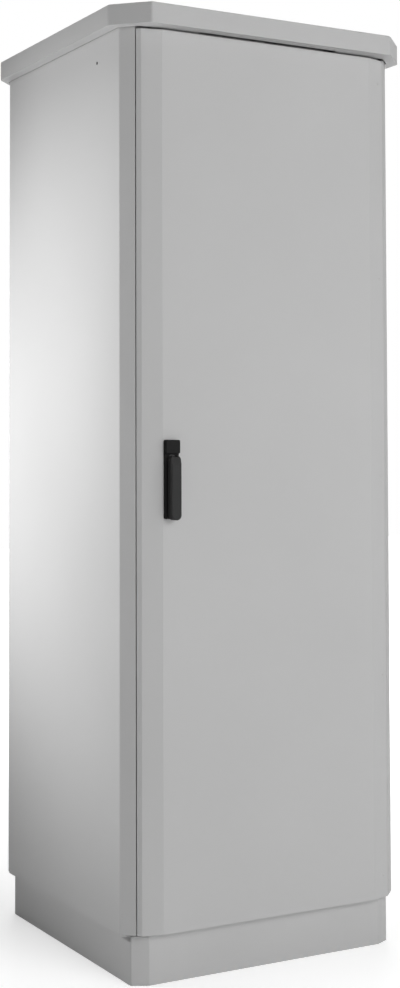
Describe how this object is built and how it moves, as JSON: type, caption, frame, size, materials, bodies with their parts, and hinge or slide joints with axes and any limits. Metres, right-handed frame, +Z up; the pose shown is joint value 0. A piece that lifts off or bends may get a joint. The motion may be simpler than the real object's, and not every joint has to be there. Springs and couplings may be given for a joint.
{
  "type": "roadside utility cabinet",
  "caption": "Tall free-standing sheet-metal outdoor cabinet with bevelled corners, a plinth, a rain canopy and one hinged door locked by a lever handle and rods.",
  "frame": {"origin": "middle of the plinth's footprint, on the floor", "axes": "+X to the right seen from the front, +Y from the door towards the back, +Z up"},
  "size_m": [0.652, 0.634, 1.79],
  "materials": {
    "grey_paint": "satin textured powder coat",
    "galvanised_sheet": "galvanised",
    "zinc_plated_steel": "zinc plated",
    "dark_screw": "black oxide",
    "black_plastic": "fine moulded texture",
    "foam_rubber": "matte foam"
  },
  "bodies": {
    "cabinet": {"plinth_corner_front_left": "grey_paint", "plinth_corner_front_right": "grey_paint", "plinth_corner_rear_left": "grey_paint", "plinth_corner_rear_right": "grey_paint", "plinth_panel_front": "grey_paint", "plinth_panel_rear": "grey_paint", "plinth_panel_left": "grey_paint", "plinth_panel_right": "grey_paint", "side_panel_left": "grey_paint", "side_panel_right": "grey_paint", "rear_panel": "grey_paint", "roof_canopy": "grey_paint", "base_rail_front": "grey_paint", "base_rail_rear": "grey_paint", "base_rail_left": "grey_paint", "base_rail_right": "grey_paint", "front_upright_left": "grey_paint", "front_upright_right": "grey_paint", "rear_upright_left": "grey_paint", "rear_upright_right": "grey_paint", "top_rail_front": "galvanised_sheet", "top_rail_rear": "galvanised_sheet", "top_rail_left": "galvanised_sheet", "top_rail_right": "galvanised_sheet", "depth_rail_lower_left": "galvanised_sheet", "depth_rail_lower_right": "galvanised_sheet", "depth_rail_upper_left": "galvanised_sheet", "depth_rail_upper_right": "galvanised_sheet", "top_plate": "galvanised_sheet", "gland_plate_front": "galvanised_sheet", "gland_plate_rear": "galvanised_sheet", "mounting_plate": "galvanised_sheet", "plate_brackets": "galvanised_sheet", "keeper_top": "galvanised_sheet", "keeper_bottom": "galvanised_sheet", "hinge_leaves": "zinc_plated_steel", "hinge_pins": "zinc_plated_steel", "roof_spacers": "zinc_plated_steel", "roof_bolts": "zinc_plated_steel", "body_bolts": "zinc_plated_steel", "panel_screws": "dark_screw"},
    "door": {"door_panel": "grey_paint", "door_seal": "foam_rubber", "door_stiffener_left": "galvanised_sheet", "door_stiffener_right": "galvanised_sheet", "hinge_arms": "zinc_plated_steel", "hinge_screws": "grey_paint", "handle_dish": "black_plastic", "dish_screws": "zinc_plated_steel", "rod_guides": "black_plastic"},
    "handle": {"handle_hub": "dark_screw", "lock_cam": "zinc_plated_steel", "cam_screw": "zinc_plated_steel"},
    "lever": {"lever": "black_plastic", "lever_pin": "dark_screw"},
    "upper_rod": {"upper_rod": "zinc_plated_steel"},
    "lower_rod": {"lower_rod": "zinc_plated_steel"}
  },
  "joints": [
    {"name": "door_hinge", "type": "hinge", "parent": "cabinet", "child": "door", "pos_m": [0.26926, -0.28154, 0.9], "axis": [0, 0, 1], "range_deg": [0, 110]},
    {"name": "handle_turn", "type": "hinge", "parent": "door", "child": "handle", "pos_m": [-0.216, -0.3, 0.947], "axis": [0, -1, 0], "range_deg": [0, 90]},
    {"name": "lever_lift", "type": "hinge", "parent": "handle", "child": "lever", "pos_m": [-0.216, -0.314, 0.947], "axis": [-1, 0, 0], "range_deg": [0, 40]},
    {"name": "upper_rod_slide", "type": "slide", "parent": "door", "child": "upper_rod", "axis": [0, 0, 1], "range_m": [-0.0184, 0]},
    {"name": "lower_rod_slide", "type": "slide", "parent": "door", "child": "lower_rod", "axis": [0, 0, 1], "range_m": [0, 0.0184]}
  ],
  "couplings": [
    {"joint": "upper_rod_slide", "follows": "handle_turn", "m_per_rad": -0.011704},
    {"joint": "lower_rod_slide", "follows": "handle_turn", "m_per_rad": 0.011704}
  ]
}
